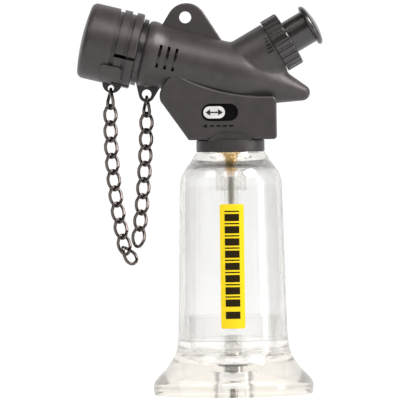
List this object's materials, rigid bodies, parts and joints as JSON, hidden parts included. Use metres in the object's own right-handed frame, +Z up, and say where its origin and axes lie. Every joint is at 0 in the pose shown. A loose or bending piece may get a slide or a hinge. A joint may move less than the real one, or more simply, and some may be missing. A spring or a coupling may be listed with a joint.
{
  "type": "butane torch",
  "caption": "Pocket butane torch with a clear flared tank, angled dark head, thumb igniter, fluted flame ring, lock slide and a pull-off nozzle cap on a chain.",
  "frame": {"origin": "where the tank axis meets the surface the torch stands on", "axes": "+Z up the tank axis, -X towards the flame end, +X towards the thumb plunger, -Y is the face with the lock slide"},
  "size_m": [0.0883, 0.0576, 0.1407],
  "materials": {
    "dark_plastic": "fine matt moulding",
    "collar_plastic": "satin moulding",
    "gloss_black": "glossy moulding",
    "white_plastic": "satin print",
    "lock_plastic": "satin",
    "clear_plastic": "polished clear acrylic",
    "clear_tube": "clear tube",
    "label_yellow": "printed film",
    "chain_metal": "gunmetal plating",
    "front_ring_metal": "polished dark chrome",
    "steel": "plain steel",
    "brass": "turned brass",
    "filler_metal": "turned",
    "seal_rubber": "moulded rubber",
    "ceramic": "glazed ceramic",
    "piezo_plastic": "moulded",
    "lever_metal": "die cast",
    "wire_red": "insulation",
    "wick_cotton": "woven cotton"
  },
  "bodies": {
    "torch_body": {"burner_carrier": "gloss_black", "dip_tube": "clear_tube", "electrode_insulator": "ceramic", "filler_body": "filler_metal", "filler_seal": "seal_rubber", "filler_spring": "steel", "flame_disc": "brass", "flame_tube": "steel", "front_ring": "front_ring_metal", "gas_jet": "brass", "gas_tube": "steel", "head_shell_left": "dark_plastic", "head_shell_right": "dark_plastic", "heat_shield": "steel", "igniter_electrode": "steel", "igniter_wire": "wire_red", "level_label": "label_yellow", "lever_pin": "steel", "mixing_tube": "steel", "neck_collar": "collar_plastic", "neck_seal": "seal_rubber", "piezo_unit": "piezo_plastic", "plunger_spring": "steel", "shell_screws": "steel", "tank_body": "clear_plastic", "tank_foot": "clear_plastic", "valve_body": "brass", "valve_inlet": "brass", "valve_spring": "steel", "wick": "wick_cotton"},
    "igniter": {"igniter_plunger": "gloss_black", "piezo_plunger": "piezo_plastic"},
    "flame_adjuster": {"flame_ring": "gloss_black"},
    "regulator": {"regulator_sleeve": "lever_metal"},
    "lock": {"lock_slide": "lock_plastic", "lock_plate": "white_plastic"},
    "cap": {"cap_shell": "dark_plastic", "cap_liner": "steel"},
    "cap_chain": {"chain_cap_strand": "chain_metal"},
    "body_chain": {"chain_body_strand": "chain_metal"},
    "lever": {"gas_lever": "lever_metal"},
    "valve": {"valve_stem": "brass"},
    "filler": {"filler_stem": "steel"}
  },
  "joints": [
    {"name": "igniter_press", "type": "slide", "parent": "torch_body", "child": "igniter", "axis": [-0.866, 0, -0.5], "range_m": [0, 0.005], "stiffness_N_per_m": 800, "springref_m": -0.01, "deforming": ["plunger_spring"]},
    {"name": "flame_ring_turn", "type": "hinge", "parent": "torch_body", "child": "flame_adjuster", "pos_m": [0, 0, 0.115], "axis": [0.866, 0, 0.5], "range_deg": [-120, 120]},
    {"name": "regulator_travel", "type": "slide", "parent": "torch_body", "child": "regulator", "axis": [0.866, 0, 0.5], "range_m": [-0.00101, 0.00101]},
    {"name": "lock_travel", "type": "slide", "parent": "torch_body", "child": "lock", "axis": [1, 0, 0], "range_m": [0, 0.004]},
    {"name": "cap_pull", "type": "slide", "parent": "torch_body", "child": "cap", "axis": [-0.9703, 0, 0.2419], "range_m": [0, 0.02]},
    {"name": "chain_cap_swing", "type": "hinge", "parent": "cap", "child": "cap_chain", "pos_m": [-0.04261, 0, 0.11027], "axis": [0, 1, 0], "range_deg": [-1, 0]},
    {"name": "chain_body_swing", "type": "hinge", "parent": "torch_body", "child": "body_chain", "pos_m": [-0.0298, 0, 0.1079], "axis": [0, 1, 0], "range_deg": [0, 20.3]},
    {"name": "gas_lever_tilt", "type": "hinge", "parent": "torch_body", "child": "lever", "pos_m": [-0.0074, 0, 0.1004], "axis": [0, -1, 0], "range_deg": [0, 7.8]},
    {"name": "valve_lift", "type": "slide", "parent": "torch_body", "child": "valve", "axis": [0, 0, 1], "range_m": [0, 0.00101], "deforming": ["valve_spring"]},
    {"name": "filler_push", "type": "slide", "parent": "torch_body", "child": "filler", "axis": [0, 0, 1], "range_m": [0, 0.0015], "stiffness_N_per_m": 900, "springref_m": -0.002, "deforming": ["filler_spring"]}
  ],
  "couplings": [
    {"joint": "regulator_travel", "follows": "flame_ring_turn", "m_per_rad": 0.0004775},
    {"joint": "chain_cap_swing", "follows": "cap_pull", "rad_per_m": -0.81},
    {"joint": "chain_body_swing", "follows": "cap_pull", "rad_per_m": 17.54},
    {"joint": "gas_lever_tilt", "follows": "igniter_press", "rad_per_m": 26.9},
    {"joint": "valve_lift", "follows": "igniter_press", "ratio": 0.2}
  ]
}
